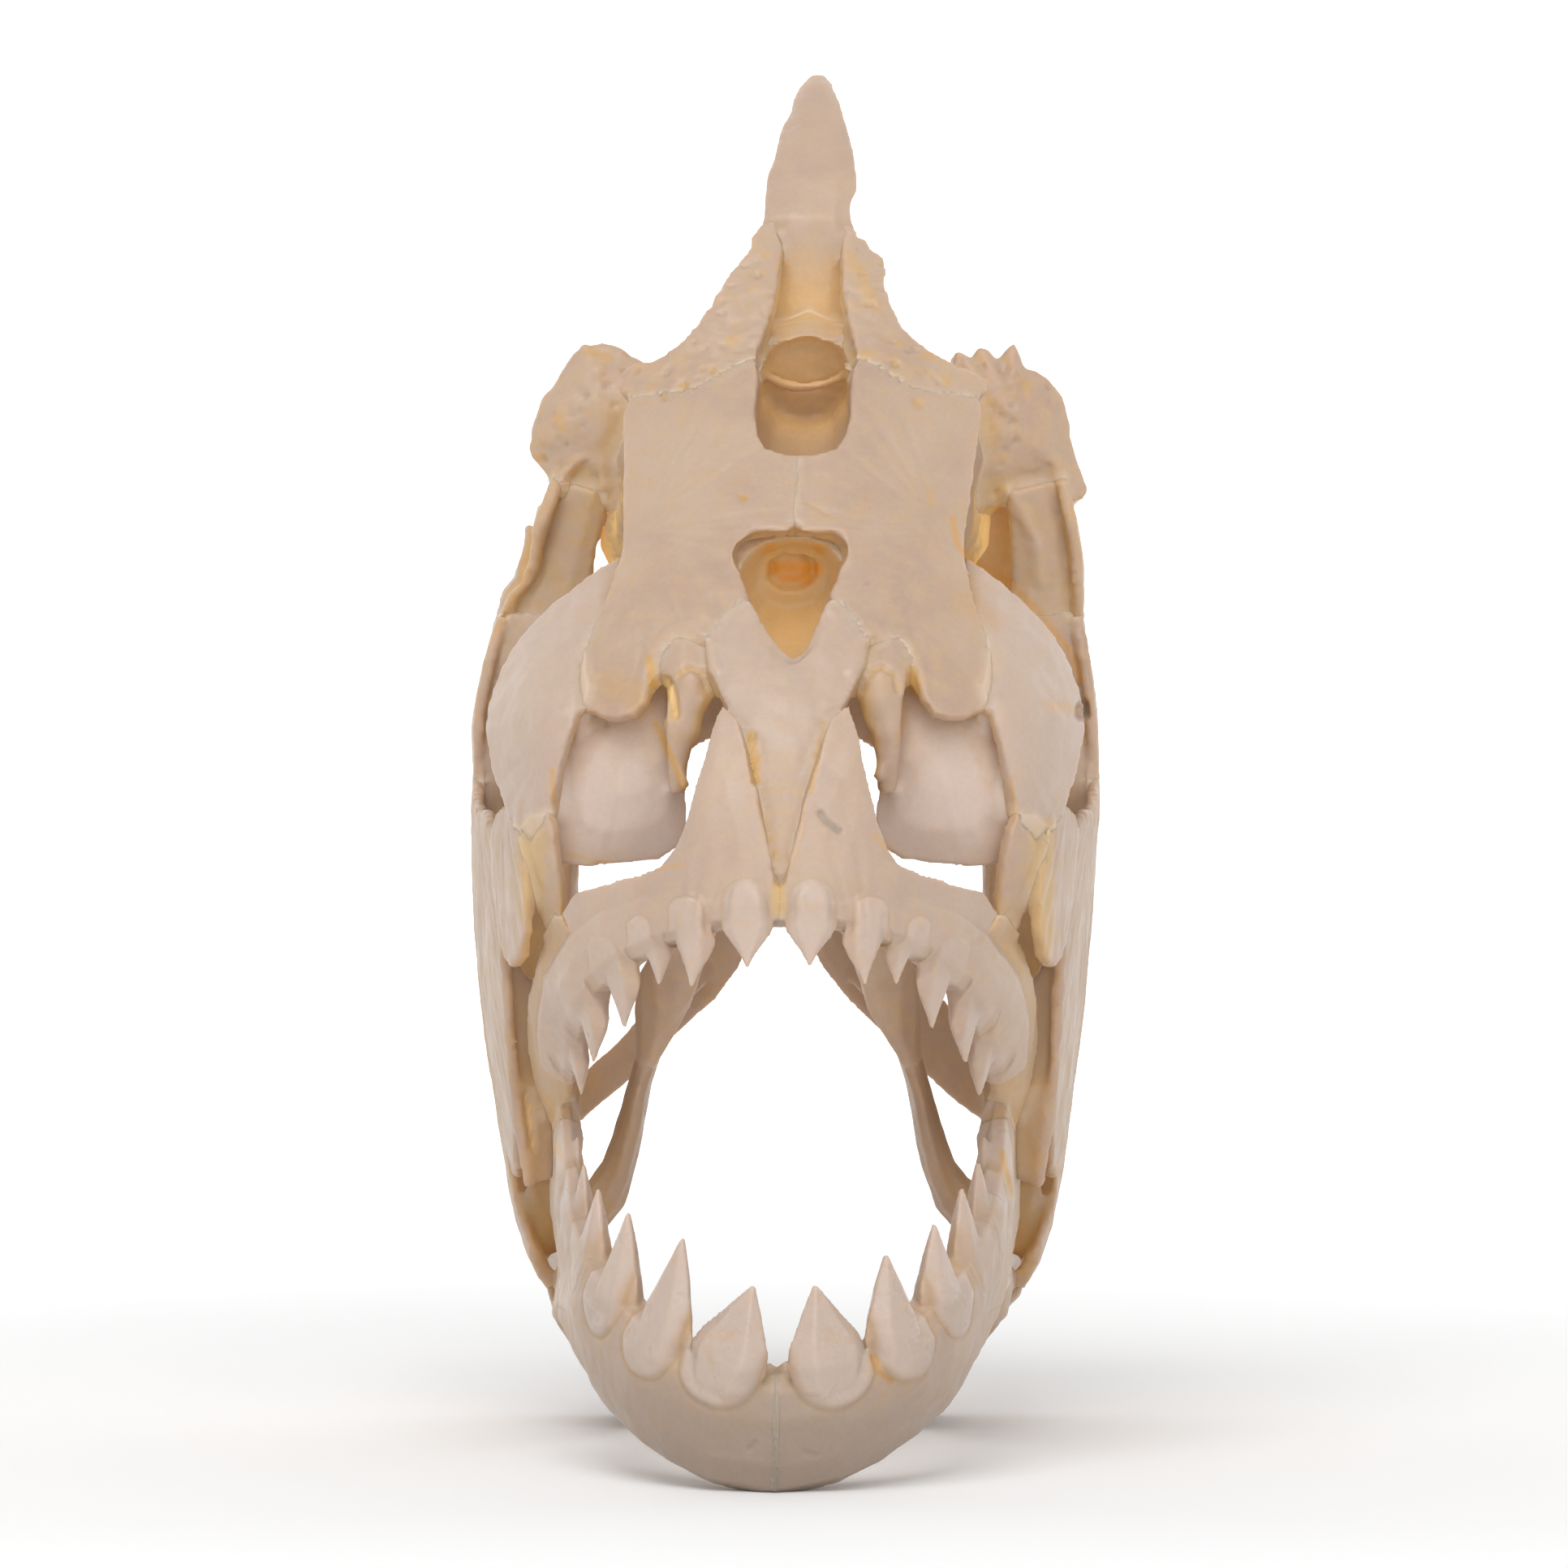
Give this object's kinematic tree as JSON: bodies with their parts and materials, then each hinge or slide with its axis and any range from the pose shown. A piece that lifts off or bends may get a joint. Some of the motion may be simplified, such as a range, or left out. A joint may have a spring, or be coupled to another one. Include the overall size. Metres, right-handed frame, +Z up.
{
  "type": "piranha skull",
  "caption": "Life-size piranha skull with tall crest, gaping jaws and triangular teeth, standing on chin and gill covers.",
  "frame": {"origin": "on the surface the skull rests on, under the middle of its bounding box", "axes": "+Z up, -Y the way the skull faces, +X to the animal's left"},
  "size_m": [0.0442, 0.0738, 0.0936],
  "materials": {
    "bone": "satin, dry bone",
    "deep_bone": "satin, dry bone, more yellow inside",
    "tooth_bone": "smooth bone and enamel"
  },
  "bodies": {
    "root": {"mesethmoid": "bone", "supraoccipital": "bone", "parasphenoid": "bone", "braincase": "deep_bone", "orbitosphenoid": "deep_bone", "premaxilla_left": "tooth_bone", "premaxilla_right": "tooth_bone", "maxilla_left": "bone", "maxilla_right": "bone", "dentary_left": "tooth_bone", "dentary_right": "tooth_bone", "articular_left": "bone", "articular_right": "bone", "frontal_left": "bone", "frontal_right": "bone", "parietal_left": "bone", "parietal_right": "bone", "sphenotic_left": "bone", "sphenotic_right": "bone", "nasal_left": "bone", "nasal_right": "bone", "lateral_ethmoid_left": "bone", "lateral_ethmoid_right": "bone", "antorbital_left": "bone", "antorbital_right": "bone", "infraorbital_1_left": "bone", "infraorbital_1_right": "bone", "infraorbital_2_left": "bone", "infraorbital_2_right": "bone", "infraorbital_3_left": "bone", "infraorbital_3_right": "bone", "infraorbital_4_left": "bone", "infraorbital_4_right": "bone", "infraorbital_5_left": "bone", "infraorbital_5_right": "bone", "quadrate_left": "bone", "quadrate_right": "bone", "pterygoid_left": "bone", "pterygoid_right": "bone", "metapterygoid_left": "bone", "metapterygoid_right": "bone", "hyomandibula_left": "bone", "hyomandibula_right": "bone", "opercle_left": "bone", "opercle_right": "bone", "preopercle_left": "bone", "preopercle_right": "bone", "subopercle_left": "bone", "subopercle_right": "bone", "interopercle_left": "bone", "interopercle_right": "bone"}
  },
  "joints": []
}
